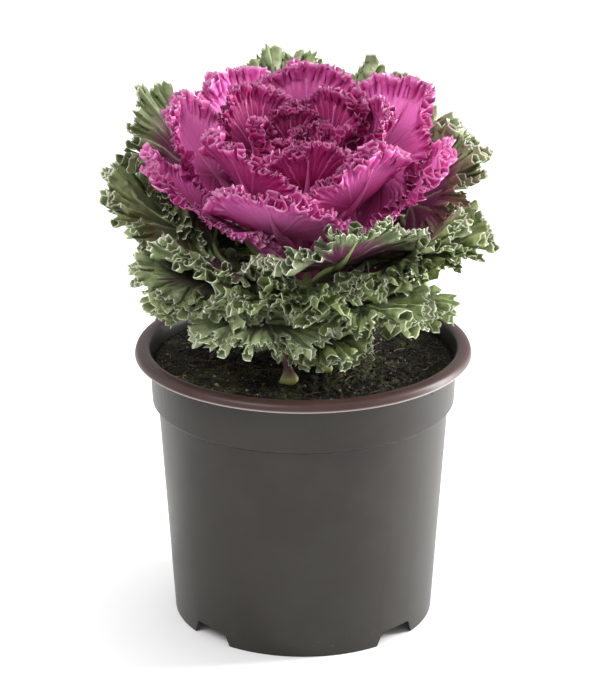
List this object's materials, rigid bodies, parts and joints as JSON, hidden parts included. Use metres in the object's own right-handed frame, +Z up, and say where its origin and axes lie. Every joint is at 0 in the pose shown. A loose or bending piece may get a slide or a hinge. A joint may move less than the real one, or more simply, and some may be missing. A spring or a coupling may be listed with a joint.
{
  "type": "ornamental kale plant in a nursery pot",
  "caption": "Frilled ornamental kale with a magenta heart and green outer leaves, growing in potting soil in a round tapered plastic nursery pot.",
  "frame": {"origin": "centre of the pot's foot, on the surface that it stands on", "axes": "+Z up along the pot's axis; -Y towards the side to which the head leans, which the picture shows as the front"},
  "size_m": [0.2133, 0.2116, 0.3136],
  "materials": {
    "pot_plastic": "satin",
    "potting_soil": "matte",
    "green_leaf": "satin",
    "magenta_leaf": "satin"
  },
  "bodies": {
    "root": {"pot": "pot_plastic", "potting_soil": "potting_soil", "kale_green_leaves": "green_leaf", "kale_heart": "magenta_leaf"}
  },
  "joints": []
}
